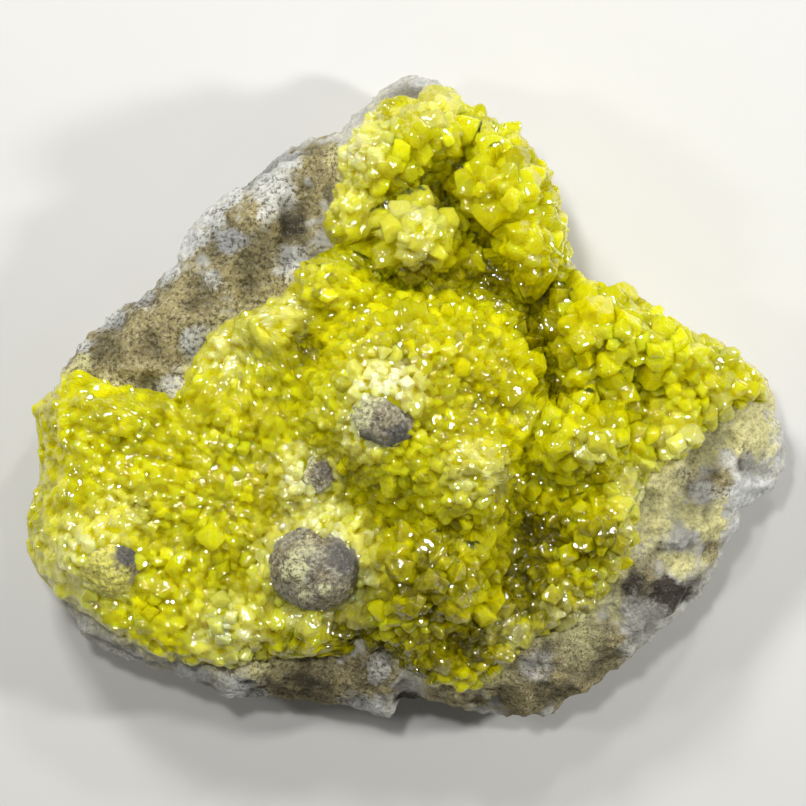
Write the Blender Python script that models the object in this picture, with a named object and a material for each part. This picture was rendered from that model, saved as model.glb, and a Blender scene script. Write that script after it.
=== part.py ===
"""Native sulfur on its rock, lying on the flat of its back with the crystals up.

Two solids. The rock is one rough slab, with mounds and bare knobs on its top, sawn flat
underneath. The sulfur crust is one solid of intergrown crystals on a thin bed, which
follows the rock and stays clear of it by a hair. Sizes are in millimetres up to the
moment when a mesh is written, which is in metres.

Origin: the middle of the flat base. +Z is up, out of the crystals; +Y is towards the
narrow end of the slab; +X is towards its long right arm.
"""

import math

import bmesh
import bpy
import numpy as np
from mathutils import Matrix, Vector

# ---------------------------------------------------------------- driving dimensions, mm

MM = 0.001
GAP = 0.35  # between the crust and the rock
RIM_Z = 17.0  # height of the slab's widest line, on average
RIM_WAVE = 5.0  # how far that line rises and falls around the slab
SHOULDER_Z = 33.0  # top of the slab just inside its edge
CROWN_Z = 40.0  # top of the slab in the middle, between the mounds
UNDERCUT = 0.86  # width of the base as a share of the widest line
CRAGS = 2.6  # depth of the broken surface on the slab's sides
CRUST = 4.5  # thickness of the sulfur bed under the crystals
CRUST_EDGE = 5.0  # width over which the bed thins out to nothing
CRUMBS = 1.5  # how far the small crystals of the bed stand out or lie back

# The widest line of the rock, clockwise from its narrow end.
RIM = [
    (3, 84), (9, 83), (16, 77), (25, 72), (33, 65), (38, 58), (42, 49), (43, 39), (45, 33),
    (52, 29), (63, 26), (70, 20), (82, 15), (88, 11), (95, 5), (98, -3), (101, -14),
    (98, -24), (90, -29), (84, -41), (78, -52), (67, -62), (52, -74), (39, -83), (25, -83),
    (12, -81), (4, -79), (0, -80), (-4, -84), (-15, -82), (-33, -79), (-52, -77),
    (-61, -71), (-70, -69), (-82, -63), (-88, -55), (-93, -47), (-96, -39), (-96, -30),
    (-93, -21), (-93, -11), (-94, -3), (-90, 3), (-90, 8), (-84, 14), (-76, 22),
    (-66, 29), (-60, 36), (-57, 43), (-50, 51), (-41, 58), (-33, 65), (-16, 70),
    (-9, 77), (-3, 82),
]  # fmt: skip

# The outer edge of the sulfur crust, clockwise from the narrow end.
CRUST_OUTLINE = [
    (-6, 77), (5, 77), (14, 79), (20, 76), (29, 75), (34, 65), (39, 58), (41, 50), (44, 42),
    (46, 35), (52, 29), (64, 27), (75, 19), (88, 15), (97, 7), (99, -1), (89, -1),
    (82, -4), (77, -9), (72, -15), (64, -18), (60, -21), (59, -28), (58, -36), (56, -43),
    (53, -49), (48, -54), (40, -59), (33, -62), (27, -67), (21, -73), (15, -75), (8, -73),
    (2, -69), (-3, -64), (-10, -60), (-17, -64), (-27, -67), (-36, -67), (-43, -69),
    (-53, -69), (-63, -67), (-73, -62), (-82, -56), (-90, -52), (-96, -46), (-99, -43),
    (-99, -37), (-101, -31), (-97, -24), (-96, -17), (-98, -8), (-98, -1), (-90, 2),
    (-89, 6), (-84, 6), (-72, 3), (-63, 1), (-57, -1), (-56, 4), (-53, 10), (-49, 16),
    (-42, 21), (-33, 25), (-27, 30), (-25, 34), (-20, 36), (-17, 41), (-18, 48),
    (-15, 56), (-16, 64), (-12, 68), (-9, 72),
]  # fmt: skip

# Mounds of the rock's top: x, y, half-width, half-depth, height of the top of the mound.
MOUNDS = {
    "crown_left": (-5, 61, 12, 11, 50),
    "crown_middle": (7, 68, 12, 10, 48),
    "crown_right": (27, 63, 11, 10, 46),
    "brow": (27, 53, 13, 8, 52),
    "crown_low_left": (3, 41, 11, 10, 53),
    "crown_low_right": (32, 40, 9, 10, 50),
    "crown_flank": (-12, 47, 9, 12, 44),
    "ridge_high": (-16, 29, 14, 9, 47),
    "ridge_middle": (-34, 17, 14, 9, 43),
    "ridge_low": (-50, 3, 8, 10, 40),
    "left_shoulder": (-88, -6, 9, 9, 36),
    "left_block": (-72, -5, 15, 9, 40),
    "left_middle": (-84, -24, 11, 10, 36),
    "left_mound": (-76, -42, 15, 14, 42),
    "left_low": (-63, -56, 14, 10, 35),
    "apron": (-42, -58, 13, 10, 39),
    "apron_right": (-25, -57, 11, 9, 40),
    "middle": (3, 0, 27, 25, 58),
    "middle_low": (17, -18, 14, 15, 59),
    "ring": (-21, -41, 15, 13, 49),
    "saddle": (-27, -20, 10, 11, 43),
    "skirt": (8, -44, 17, 18, 49),
    "skirt_low": (3, -61, 12, 8, 36),
    "right_inner": (50, 14, 14, 13, 48),
    "right_upper": (66, 13, 12, 10, 45),
    "right_middle": (44, -11, 13, 11, 51),
    "right_outer": (75, 3, 12, 10, 41),
    "right_tip": (89, 3, 8, 8, 36),
    "right_low": (52, -31, 11, 12, 45),
    "right_neck": (29, -4, 10, 14, 46),
    "foot": (41, -51, 11, 9, 37),
    "foot_low": (20, -64, 10, 7, 32),
    "bare_hood": (-40, 40, 20, 17, 40),
    "bare_shelf": (-70, 14, 18, 12, 35),
    "bare_right": (76, -28, 30, 23, 37),
    "bare_foot": (38, -70, 22, 12, 30),
}
MOUND_DROP = 14.0  # how far below its top a mound is at its half-width
MOUND_POWER = 2.6  # 2 is a bowl, higher is flatter on top and steeper at the side
BLEND = 1.3  # height over which mounds flow into each other

# Valleys between the mounds, which part the clumps: from, to, half-width, depth.
VALLEYS = [
    ((-6, 31), (36, 26), 4.0, 4.5), ((18, 31), (33, 20), 5.0, 5.0),
    ((7, 64), (9, 53), 2.5, 3.5), ((9, 53), (25, 36), 3.5, 4.5),
    ((33, 26), (40, 1), 4.5, 5.0), ((27, -20), (33, -52), 4.5, 5.0),
    ((12, -60), (12, -66), 3.5, 4.0), ((-26, 18), (-20, 10), 4.0, 3.0),
    ((-19, -10), (-6, -25), 3.5, 3.5), ((-36, -12), (-30, -36), 5.0, 2.0),
    ((-70, -14), (-50, -18), 5.0, 1.5), ((60, -2), (62, 6), 3.5, 3.5),
    ((-20, -58), (-2, -66), 3.0, 3.5), ((12, 7), (20, 0), 3.0, 3.0),
]  # fmt: skip

# Bare knobs of rock that stand up through the crust: x, y, height of the middle, half-sizes.
KNOBS = {
    "ring_knob": ((-21.5, -43), 45, (11.5, 11.0, 13.0)),
    "middle_knob": ((-4.5, -5), 56, (8.5, 7.5, 10.0)),
    "left_knob": ((-75, -43), 36, (8.5, 8.5, 12.0)),
    "small_knob": ((-22, -19), 43, (5.5, 5.5, 7.0)),
}

# Where the crystals are coarse: x, y, reach, half-width of a crystal there.
COARSE = [
    (10, 62, 26, 7.2), (28, 45, 18, 6.8), (50, 14, 24, 7.6), (45, -11, 18, 6.8),
    (51, -34, 18, 6.0), (10, -46, 22, 6.2), (8, 8, 24, 5.6), (80, 4, 16, 5.8),
    (36, -56, 18, 5.6),
]  # fmt: skip
FINE_CRYSTAL = 4.7  # half-width of a crystal everywhere else
SPACING = 1.5  # distance between crystals as a multiple of their half-width
CRYSTAL_FORMS = [
    [(0.8, 1.0, -0.7, 0.0), (1.0, 0.6, 0.0, 0.85), (0.6, 0.05, 0.85, 1.2)],
    [(0.8, 1.0, -0.7, 0.0), (1.0, 0.55, 0.0, 0.95)],
]
SEED = 7

# How fine the meshes are.
ROCK_TRIANGLES = 2300
BED_TRIANGLES = 1800
CRUST_TRIANGLES = 5300

# ---------------------------------------------------------------- the form of the slab


def noise(points, cell, seed):
    """Smooth noise from -1 to 1: random values at the corners of cubes of side cell,
    blended between them along a cubic ramp."""
    scaled = np.asarray(points, float) / cell
    base = np.floor(scaled).astype(np.int64)
    ramp = scaled - base
    ramp = ramp * ramp * (3 - 2 * ramp)
    total = np.zeros(len(scaled))
    for corner in np.ndindex(2, 2, 2):
        x, y, z = (base + corner).T
        mixed = (x * 73856093) ^ (y * 19349663) ^ (z * 83492791) ^ (seed * 40503)
        mixed = (mixed ^ (mixed >> 13)) * 1274126177
        value = ((mixed >> 7) & 0xFFFF) / 32767.5 - 1
        share = np.where(corner, ramp, 1 - ramp).prod(axis=1)
        total += share * value
    return total


def rim_radius(angle):
    """Distance from the middle to the widest line of the rock, in a direction."""
    outline = np.array(RIM, float)
    turns = np.arctan2(outline[:, 1], outline[:, 0])
    lengths = np.hypot(outline[:, 0], outline[:, 1])
    return np.interp(angle, turns, lengths, period=2 * math.pi)


def rim_height(angle):
    return RIM_Z + RIM_WAVE * (0.6 * np.sin(2 * angle + 0.6) + 0.4 * np.sin(5 * angle))


def mounds(x, y):
    """Height of the rock's top before its edge is rounded: a low dome and the mounds on
    it, joined by a smooth maximum, which is the log of the sum of their exponentials."""
    share = np.hypot(x, y) / rim_radius(np.arctan2(y, x))
    total = np.exp((CROWN_Z - (CROWN_Z - SHOULDER_Z) * share**2) / BLEND)
    for cx, cy, half_x, half_y, top in MOUNDS.values():
        out = np.hypot((x - cx) / half_x, (y - cy) / half_y)
        total += np.exp((top - MOUND_DROP * out**MOUND_POWER) / BLEND)
    return BLEND * np.log(total)


def valleys(x, y):
    """Depth of the deepest valley at each place: a bell across the line of each."""
    deepest = np.zeros(len(x))
    for (ax, ay), (bx, by), half, depth in VALLEYS:
        ex, ey = bx - ax, by - ay
        along = np.clip(((x - ax) * ex + (y - ay) * ey) / (ex * ex + ey * ey), 0, 1)
        away = np.hypot(x - ax - along * ex, y - ay - along * ey)
        deepest = np.maximum(deepest, depth * np.exp(-((away / half) ** 2)))
    return deepest


def rock_top(x, y):
    """Height of the rock at a place seen from above, rounded over at the widest line."""
    angle = np.arctan2(y, x)
    share = np.clip(np.hypot(x, y) / rim_radius(angle), 0, 1)
    rough = noise(np.stack([x, y, 0 * x], 1), 21, 3) * 1.8
    rough += noise(np.stack([x, y, 0 * x], 1), 7, 4) * 1.4
    low = rim_height(angle)
    high = mounds(x, y) - valleys(x, y) + rough
    return low + (high - low) * (1 - share**16) ** 0.6


def inside(x, y, outline):
    """Distance to an outline, positive inside it and negative outside."""
    here = np.stack([x, y], 1)[:, None, :]
    start = np.array(outline, float)
    end = np.roll(start, -1, axis=0)
    edge = end - start
    along = ((here - start) * edge).sum(2) / (edge**2).sum(1)
    nearest = start + np.clip(along, 0, 1)[..., None] * edge
    distance = np.hypot(*np.moveaxis(here - nearest, 2, 0)).min(axis=1)
    above = (start[:, 1] > y[:, None]) != (end[:, 1] > y[:, None])
    rise = np.where(edge[:, 1] == 0, 1, edge[:, 1])
    crossing = start[:, 0] + (y[:, None] - start[:, 1]) / rise * edge[:, 0] > x[:, None]
    odd = (above & crossing).sum(axis=1) % 2 == 1
    return np.where(odd, distance, -distance)


def bed_rise(x, y):
    """How far the sulfur bed stands above the rock: its full thickness well inside the
    crust's outline, and under the rock outside it."""
    share = np.clip(inside(x, y, CRUST_OUTLINE) / CRUST_EDGE + 0.35, 0, 1)
    return (CRUST + 2.5) * share * share * (3 - 2 * share) - 2.5


def slab(name, top, rim, floor, rings=5):
    """A ball of even triangles pulled into a slab. Its upper half is spread over the
    top, so that equal parts of the ball cover equal parts of it, and its lower half
    runs down the side and across the floor."""
    shape = bmesh.new()
    bmesh.ops.create_icosphere(shape, subdivisions=rings, radius=1)
    ball = np.array([vertex.co for vertex in shape.verts])
    angle = np.arctan2(ball[:, 1], ball[:, 0])
    share = np.sqrt(np.clip(1 - np.abs(ball[:, 2]), 0, 1))
    upper = ball[:, 2] >= -1e-6
    down = np.clip((1 - share) / 0.3, 0, 1)
    base = UNDERCUT + 0.04 * np.sin(3 * angle)
    side = np.where(down < 1, 1 - (1 - base) * down**1.5, share / 0.7 * base)
    radius = rim(angle) * np.where(upper, share, side)
    x, y = radius * np.cos(angle), radius * np.sin(angle)
    crag = 1 - 2 * np.abs(noise(np.stack([x, y, 40 * down], 1), 12, 5))
    radius = radius + crag * CRAGS * np.where(upper | (down == 1), 0, np.sin(down * math.pi))
    x, y = radius * np.cos(angle), radius * np.sin(angle)
    edge = top(rim(angle) * np.cos(angle), rim(angle) * np.sin(angle))
    z = np.where(upper, top(x, y), edge + (floor - edge) * down)
    for vertex, place in zip(shape.verts, np.stack([x, y, z], 1) * MM):
        vertex.co = place
    return finish_mesh(name, shape)


# ---------------------------------------------------------------- meshes and objects


def finish_mesh(name, shape):
    """Writes a bmesh to a new object in the scene, with its faces pointing out."""
    bmesh.ops.recalc_face_normals(shape, faces=shape.faces)
    mesh = bpy.data.meshes.new(name)
    shape.to_mesh(mesh)
    shape.free()
    made = bpy.data.objects.new(name, mesh)
    bpy.context.scene.collection.objects.link(made)
    return made


def helper(made, collection):
    """Marks an object as a cutter or a piece to be joined, which isn't a part."""
    made.hide_render = True
    made.display_type = "WIRE"
    bpy.context.scene.collection.objects.unlink(made)
    collection.objects.link(made)
    return made


def join(target, other, operation):
    modifier = target.modifiers.new(f"{operation.lower()} {other.name}", "BOOLEAN")
    modifier.operation = operation
    modifier.object = other


def applied(source, name):
    """A new object with the mesh that an object's modifiers give, and no modifiers."""
    graph = bpy.context.evaluated_depsgraph_get()
    mesh = bpy.data.meshes.new_from_object(source.evaluated_get(graph))
    bpy.data.objects.remove(source)
    made = bpy.data.objects.new(name, mesh)
    bpy.context.scene.collection.objects.link(made)
    return made


def thinned(made, triangles):
    """The same form with about so many triangles, which breaks it into rough facets."""
    made.data.calc_loop_triangles()
    fewer = made.modifiers.new("fewer", "DECIMATE")
    fewer.ratio = min(1, triangles / len(made.data.loop_triangles))
    return applied(made, made.name)


def cut_flat(made, height):
    """Takes off everything under a height and closes the cut with one flat face."""
    shape = bmesh.new()
    shape.from_mesh(made.data)
    everything = [*shape.verts, *shape.edges, *shape.faces]
    cut = bmesh.ops.bisect_plane(
        shape, geom=everything, plane_co=(0, 0, height * MM), plane_no=(0, 0, -1), clear_outer=True
    )
    rim = [part for part in cut["geom_cut"] if isinstance(part, bmesh.types.BMEdge)]
    bmesh.ops.contextual_create(shape, geom=rim)
    bmesh.ops.recalc_face_normals(shape, faces=shape.faces)
    shape.to_mesh(made.data)
    shape.free()


def keep_largest(made):
    """Removes the loose crumbs that a cut leaves, all but the largest body."""
    shape = bmesh.new()
    shape.from_mesh(made.data)
    left, bodies = set(shape.verts), []
    while left:
        body, edge = set(), [left.pop()]
        while edge:
            vertex = edge.pop()
            body.add(vertex)
            near = {line.other_vert(vertex) for line in vertex.link_edges} & left
            left -= near
            edge.extend(near)
        bodies.append(body)
    largest = max(bodies, key=len)
    crumbs = [vertex for body in bodies if body is not largest for vertex in body]
    bmesh.ops.delete(shape, geom=crumbs, context="VERTS")
    shape.to_mesh(made.data)
    shape.free()


def material(name, colour, roughness):
    made = bpy.data.materials.new(name)
    made.use_nodes = True
    surface = made.node_tree.nodes["Principled BSDF"]
    surface.inputs["Base Color"].default_value = (*colour, 1)
    surface.inputs["Roughness"].default_value = roughness
    surface.inputs["Metallic"].default_value = 0
    made.diffuse_color = (*colour, 1)
    return made


# ---------------------------------------------------------------- the rock


def knob(name, place, middle, sizes):
    """A rounded knob: a ball of even triangles, a little lumpy."""
    shape = bmesh.new()
    bmesh.ops.create_icosphere(shape, subdivisions=2, radius=1)
    for vertex in shape.verts:
        lump = 1 + 0.07 * float(noise([vertex.co * 10], 9, 11)[0])
        vertex.co = Vector(a * b for a, b in zip(vertex.co, sizes)) * lump * MM
        vertex.co += Vector((*place, middle)) * MM
    return finish_mesh(name, shape)


def rock(helpers):
    slab_object = slab("rock_slab", rock_top, rim_radius, -2.0)
    for name, (place, middle, sizes) in KNOBS.items():
        join(slab_object, helper(knob(name, place, middle, sizes), helpers), "UNION")
    made = thinned(applied(slab_object, "rock_matrix"), ROCK_TRIANGLES)
    cut_flat(made, 0.0)
    return made


# ---------------------------------------------------------------- the sulfur


def crystal_half_width(x, y):
    """Half-width of the crystals at a place: coarse in the named patches, fine between."""
    size = np.full(len(x), FINE_CRYSTAL)
    for cx, cy, reach, half_width in COARSE:
        near = np.exp(-(((x - cx) ** 2 + (y - cy) ** 2) / reach**2) ** 2)
        size = np.maximum(size, FINE_CRYSTAL + (half_width - FINE_CRYSTAL) * near)
    return size


def crust_top(x, y):
    """The top of the sulfur bed, broken up by the small crystals it is made of."""
    crumbs = noise(np.stack([x, y, 0 * x], 1), 4.5, 8) * CRUMBS
    return rock_top(x, y) + bed_rise(x, y) + crumbs


def crystal_places():
    """Crystals strewn over the crust, none nearer another than its own spacing.
    Returns their places, the way the crust faces there and their half-widths."""
    random = np.random.default_rng(SEED)
    tries = random.uniform((-100, -78), (100, 80), (9000, 2))
    size = crystal_half_width(*tries.T) * random.uniform(0.82, 1.12, len(tries))
    # Beside the widest line there is no rock to lie on, so no crystal reaches past it.
    share = np.hypot(*tries.T) / rim_radius(np.arctan2(tries[:, 1], tries[:, 0]))
    fits = inside(*tries.T, CRUST_OUTLINE) > size * np.where(share > 0.85, 0.9, 0.5)
    (x, y), size = tries[fits].T, size[fits]
    kept = []
    for i in range(len(x)):
        near = np.hypot(x[kept] - x[i], y[kept] - y[i])
        if (near > SPACING * (size[kept] + size[i]) / 2).all():
            kept.append(i)
    x, y, size = x[kept], y[kept], size[kept]
    knobs = np.array([place for place, _, _ in KNOBS.values()])
    widths = np.array([max(sizes[:2]) for _, _, sizes in KNOBS.values()])
    clear = (np.hypot(x[:, None] - knobs[:, 0], y[:, None] - knobs[:, 1]) > widths * 0.9).all(1)
    x, y, size = x[clear], y[clear], size[clear]
    step = 1.5
    slope_x = (crust_top(x + step, y) - crust_top(x - step, y)) / (2 * step)
    slope_y = (crust_top(x, y + step) - crust_top(x, y - step)) / (2 * step)
    facing = np.stack([-slope_x, -slope_y, np.ones_like(x)], 1)
    facing /= np.linalg.norm(facing, axis=1, keepdims=True)
    return np.stack([x, y, crust_top(x, y)], 1), facing, size


def crystal_form(stages):
    """The sulfur habit, of half-width 1: four-sided stages between a foot that the bed
    hides and the tip. Each stage is (width below, width above, height below, height
    above). Blender's cones give the corners and their convex hull gives the faces."""
    shape = bmesh.new()
    for low, high, foot, top in stages:
        lift = Matrix.Translation((0, 0, (foot + top) / 2))
        bmesh.ops.create_cone(
            shape, cap_ends=True, segments=4, radius1=low, radius2=high, depth=top - foot, matrix=lift
        )
    bmesh.ops.remove_doubles(shape, verts=shape.verts, dist=1e-5)
    bmesh.ops.scale(shape, verts=shape.verts, vec=(1.12, 0.9, 1))
    bmesh.ops.delete(shape, geom=shape.edges, context="EDGES_FACES")
    bmesh.ops.convex_hull(shape, input=shape.verts)
    bmesh.ops.dissolve_limit(shape, angle_limit=0.02, verts=shape.verts, edges=shape.edges)
    corners = np.array([vertex.co for vertex in shape.verts])
    shape.verts.index_update()
    faces = [[vertex.index for vertex in face.verts] for face in shape.faces]
    shape.free()
    return corners, faces


def batches(places, size):
    """Numbers the crystals so that two that touch never share a number."""
    number = np.zeros(len(size), int)
    for i in range(len(size)):
        apart = np.linalg.norm(places[:i] - places[i], axis=1)
        taken = set(number[:i][apart < 1.45 * (size[:i] + size[i])])
        number[i] = min(set(range(len(size))) - taken)
    return number


def crystal_batch(name, forms, places, facing, size, random):
    """One object of crystals that don't touch each other, each leaning off the way the
    crust faces and turned about its own axis."""
    shape = bmesh.new()
    for place, up, half in zip(places, facing, size):
        corners, faces = forms[random.integers(len(forms))]
        axis = Vector(up) + Vector(random.normal(0, 0.32, 3))
        turn = axis.to_track_quat("Z", "Y").to_matrix()
        turn = turn @ Matrix.Rotation(random.uniform(0, math.tau), 3, "Z")
        tall = half * random.uniform(0.85, 1.15)
        middle = Vector(place) + Vector(up) * 0.1 * half
        made = [
            shape.verts.new((turn @ Vector((c[0] * half, c[1] * half, c[2] * tall)) + middle) * MM)
            for c in corners
        ]
        for face in faces:
            shape.faces.new([made[i] for i in face])
    return finish_mesh(name, shape)


def sulfur(rock_object, helpers):
    def wrapped_rim(angle):
        radius = rim_radius(angle)
        at_rim = bed_rise(radius * 0.97 * np.cos(angle), radius * 0.97 * np.sin(angle))
        return radius + 0.6 * at_rim

    bed = thinned(slab("sulfur_bed", crust_top, wrapped_rim, 9.0), BED_TRIANGLES)
    places, facing, size = crystal_places()
    number = batches(places, size)
    random = np.random.default_rng(SEED + 1)
    forms = [crystal_form(stages) for stages in CRYSTAL_FORMS]
    for n in range(number.max() + 1):
        mine = number == n
        batch = crystal_batch(f"crystals_{n}", forms, places[mine], facing[mine], size[mine], random)
        join(bed, helper(batch, helpers), "UNION")
    cutter = rock_object.copy()
    cutter.data = rock_object.data.copy()
    cutter.name = "rock_cutter"
    bpy.context.scene.collection.objects.link(cutter)
    swell = cutter.modifiers.new("gap", "DISPLACE")
    swell.strength = GAP * MM
    swell.mid_level = 0
    made = thinned(applied(bed, "sulfur_crust"), CRUST_TRIANGLES)
    join(made, helper(cutter, helpers), "DIFFERENCE")
    join(made, rock_object, "DIFFERENCE")
    made = applied(made, "sulfur_crust")
    keep_largest(made)
    print(len(size), "crystals in", number.max() + 1, "batches")
    return made


# ---------------------------------------------------------------- the whole specimen


def build():
    for old in list(bpy.data.objects):
        bpy.data.objects.remove(old, do_unlink=True)
    scene = bpy.context.scene
    specimen = bpy.data.collections.new("native_sulfur_specimen")
    helpers = bpy.data.collections.new("cutters")
    for collection in (specimen, helpers):
        scene.collection.children.link(collection)

    rock_object = rock(helpers)
    crust = sulfur(rock_object, helpers)
    rock_object.data.materials.clear()
    rock_object.data.materials.append(material("weathered rock", (0.36, 0.31, 0.22), 0.9))
    crust.data.materials.clear()
    crust.data.materials.append(material("native sulfur", (0.70, 0.62, 0.02), 0.25))
    for made in (rock_object, crust):
        scene.collection.objects.unlink(made)
        specimen.objects.link(made)


build()
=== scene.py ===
# %% [markdown]
# # Native sulfur on its rock
#
# The specimen is a slab of pale, porous rock that carries a crust of yellow sulfur
# crystals. It lies on its flat back. In this notebook we dress its plain solids: first
# the rock and its knobs, then the sulfur bed, then some thousands of crystals on it.
# Every form is worked out with numpy as whole arrays, in millimetres, and becomes a
# mesh in metres at the very end.

import bmesh
import bpy
import numpy as np
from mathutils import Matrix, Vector


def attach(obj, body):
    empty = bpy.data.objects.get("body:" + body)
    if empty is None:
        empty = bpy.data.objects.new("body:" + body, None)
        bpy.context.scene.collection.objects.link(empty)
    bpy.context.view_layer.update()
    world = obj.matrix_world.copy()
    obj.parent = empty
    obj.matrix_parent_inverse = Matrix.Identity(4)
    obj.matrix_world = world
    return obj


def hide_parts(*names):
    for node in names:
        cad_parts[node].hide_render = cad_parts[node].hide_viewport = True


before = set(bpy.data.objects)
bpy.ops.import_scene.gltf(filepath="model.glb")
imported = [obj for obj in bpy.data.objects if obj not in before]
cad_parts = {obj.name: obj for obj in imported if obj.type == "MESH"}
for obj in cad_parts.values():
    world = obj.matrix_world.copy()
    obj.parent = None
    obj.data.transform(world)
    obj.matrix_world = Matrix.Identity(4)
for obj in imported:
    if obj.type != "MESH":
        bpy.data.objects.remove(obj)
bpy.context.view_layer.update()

MM = 0.001

# %% [markdown]
# ## The floor, the light and the camera
#
# A druse sparkles only if something bright can be mirrored in its faces. Compact lamps
# round it give pin-sharp glints, the strongest beyond its upper left, so that its mounds
# throw soft shadows to the lower right. A dim, even world fills the shadows, as a bright
# one would lay a grey veil over the dark crystals. The camera looks straight down, as
# the specimen lies on its back.

# %% Camera
PLANE = 30.0  # height of the plane whose width the view shows, mm
VIEW_WIDTH = 209.6  # width of the view at that height, mm
VIEW_MIDDLE = (0.3, -1.3)  # where the view's middle meets that plane, mm
DISTANCE = 750.0  # from that plane to the lens, mm
SENSOR = 36.0

camera_data = bpy.data.cameras.new("camera")
camera_data.sensor_width = SENSOR
camera_data.lens = SENSOR * DISTANCE / VIEW_WIDTH
camera_data.clip_start = 0.01
camera = bpy.data.objects.new("camera", camera_data)
camera.location = (VIEW_MIDDLE[0] * MM, VIEW_MIDDLE[1] * MM, (PLANE + DISTANCE) * MM)
bpy.context.scene.collection.objects.link(camera)
bpy.context.scene.camera = camera
print("lens", round(camera_data.lens, 1), "mm")


# %% Colours and nodes
def linear(code, alpha=1.0):
    """An sRGB hex colour as the linear values that a shader takes."""
    parts = np.array([int(code[i : i + 2], 16) for i in (1, 3, 5)]) / 255
    parts = np.where(parts <= 0.04045, parts / 12.92, ((parts + 0.055) / 1.055) ** 2.4)
    return (*parts.tolist(), alpha)


def add(tree, kind, settings=None, inputs=None):
    """Adds a node, sets its properties, and sets or links its inputs."""
    made = tree.nodes.new(kind)
    for name, value in (settings or {}).items():
        setattr(made, name, value)
    for name, value in (inputs or {}).items():
        if isinstance(value, bpy.types.NodeSocket):
            tree.links.new(value, made.inputs[name])
        else:
            made.inputs[name].default_value = value
    return made


# %% Lamps and the pale floor
LAMPS = {
    # name: place in mm, width in mm, watts
    "window": ((-230, 470, 520), 120, 2.5),
    "above": ((160, 460, 520), 60, 0.8),
    "right": ((520, 40, 380), 60, 2.0),
    "left": ((-430, 60, 480), 60, 0.55),
    "front": ((-100, 160, 760), 60, 1.7),
    "below": ((60, -330, 640), 60, 0.1),
}
AIM = Vector((0, 0, 30)) * MM

for name, (place, width, watts) in LAMPS.items():
    lamp = bpy.data.lights.new(name, "AREA")
    lamp.size = width * MM
    lamp.energy = watts
    lamp_object = bpy.data.objects.new(name, lamp)
    lamp_object.location = Vector(place) * MM
    lamp_object.rotation_euler = (AIM - lamp_object.location).to_track_quat("-Z", "Y").to_euler()
    bpy.context.scene.collection.objects.link(lamp_object)

world = bpy.data.worlds.new("studio")
world.use_nodes = True
world.node_tree.nodes["Background"].inputs["Color"].default_value = linear("#E6E4DE")
world.node_tree.nodes["Background"].inputs["Strength"].default_value = 0.09
bpy.context.scene.world = world
bpy.context.scene.view_settings.view_transform = "Standard"

FLOOR_REACH = 3.0  # from the middle of the floor to its edges, m
FLOOR_DROP = 0.0003  # from the rock's flat back down to the floor, m

floor_mesh = bpy.data.meshes.new("floor")
corners = np.array([(-1, -1, 0), (1, -1, 0), (1, 1, 0), (-1, 1, 0)]) * FLOOR_REACH
floor_mesh.from_pydata((corners - (0, 0, FLOOR_DROP)).tolist(), [], [(0, 1, 2, 3)])
floor = bpy.data.objects.new("floor", floor_mesh)
bpy.context.scene.collection.objects.link(floor)
floor_paint = bpy.data.materials.new("matt_paper")
floor_paint.use_nodes = True
floor_shader = floor_paint.node_tree.nodes["Principled BSDF"]
floor_shader.inputs["Base Color"].default_value = linear("#D9D8D4")
floor_shader.inputs["Roughness"].default_value = 0.9
floor_mesh.materials.append(floor_paint)
print(len(LAMPS), "lamps")

# %% [markdown]
# ## Noise
#
# Broken rock is rough at every scale, so we need two kinds of noise, both made from a
# hash of the corners of a grid of cubes. `waves` blends random values between the
# corners, which gives swells. `grains` measures the distance to the nearest of random
# points, one in each cube, which gives the rounded grains of a sandy stone.


# %% Noise
def hashed(cells, seed):
    """Random values from 0 to 1, one for each row of whole numbers, by mixing their
    bits with large primes."""
    x, y, z = cells.T.astype(np.int64)
    mixed = (x * 73856093) ^ (y * 19349663) ^ (z * 83492791) ^ (seed * 40503)
    mixed = (mixed ^ (mixed >> 13)) * 1274126177
    return ((mixed >> 7) & 0xFFFF) / 65535


def waves(points, cell, seed):
    """Smooth noise from -1 to 1: the hashes of a cube's eight corners, blended along a
    cubic ramp in x, y and z."""
    scaled = np.asarray(points, float) / cell
    base = np.floor(scaled).astype(np.int64)
    ramp = scaled - base
    ramp = ramp * ramp * (3 - 2 * ramp)
    total = np.zeros(len(scaled))
    for corner in np.ndindex(2, 2, 2):
        share = np.where(corner, ramp, 1 - ramp).prod(axis=1)
        total += share * (2 * hashed(base + corner, seed) - 1)
    return total


def grains(points, cell, seed):
    """Distance to the nearest random point, as a share of the cell: low in the middle
    of a grain and high between grains. Each of the 27 nearest cubes holds one point."""
    scaled = np.asarray(points, float) / cell
    base = np.floor(scaled).astype(np.int64)
    nearest = np.full(len(scaled), 9.0)
    for step in np.ndindex(3, 3, 3):
        cube = base + step - 1
        random = np.stack([hashed(cube, seed + k) for k in range(3)], 1)
        nearest = np.minimum(nearest, ((cube + random - scaled) ** 2).sum(1))
    return np.sqrt(nearest)


test = np.random.default_rng(0).uniform(0, 50, (2000, 3))
print("waves", waves(test, 5, 1).std().round(2), "grains", grains(test, 5, 1).mean().round(2))
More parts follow.
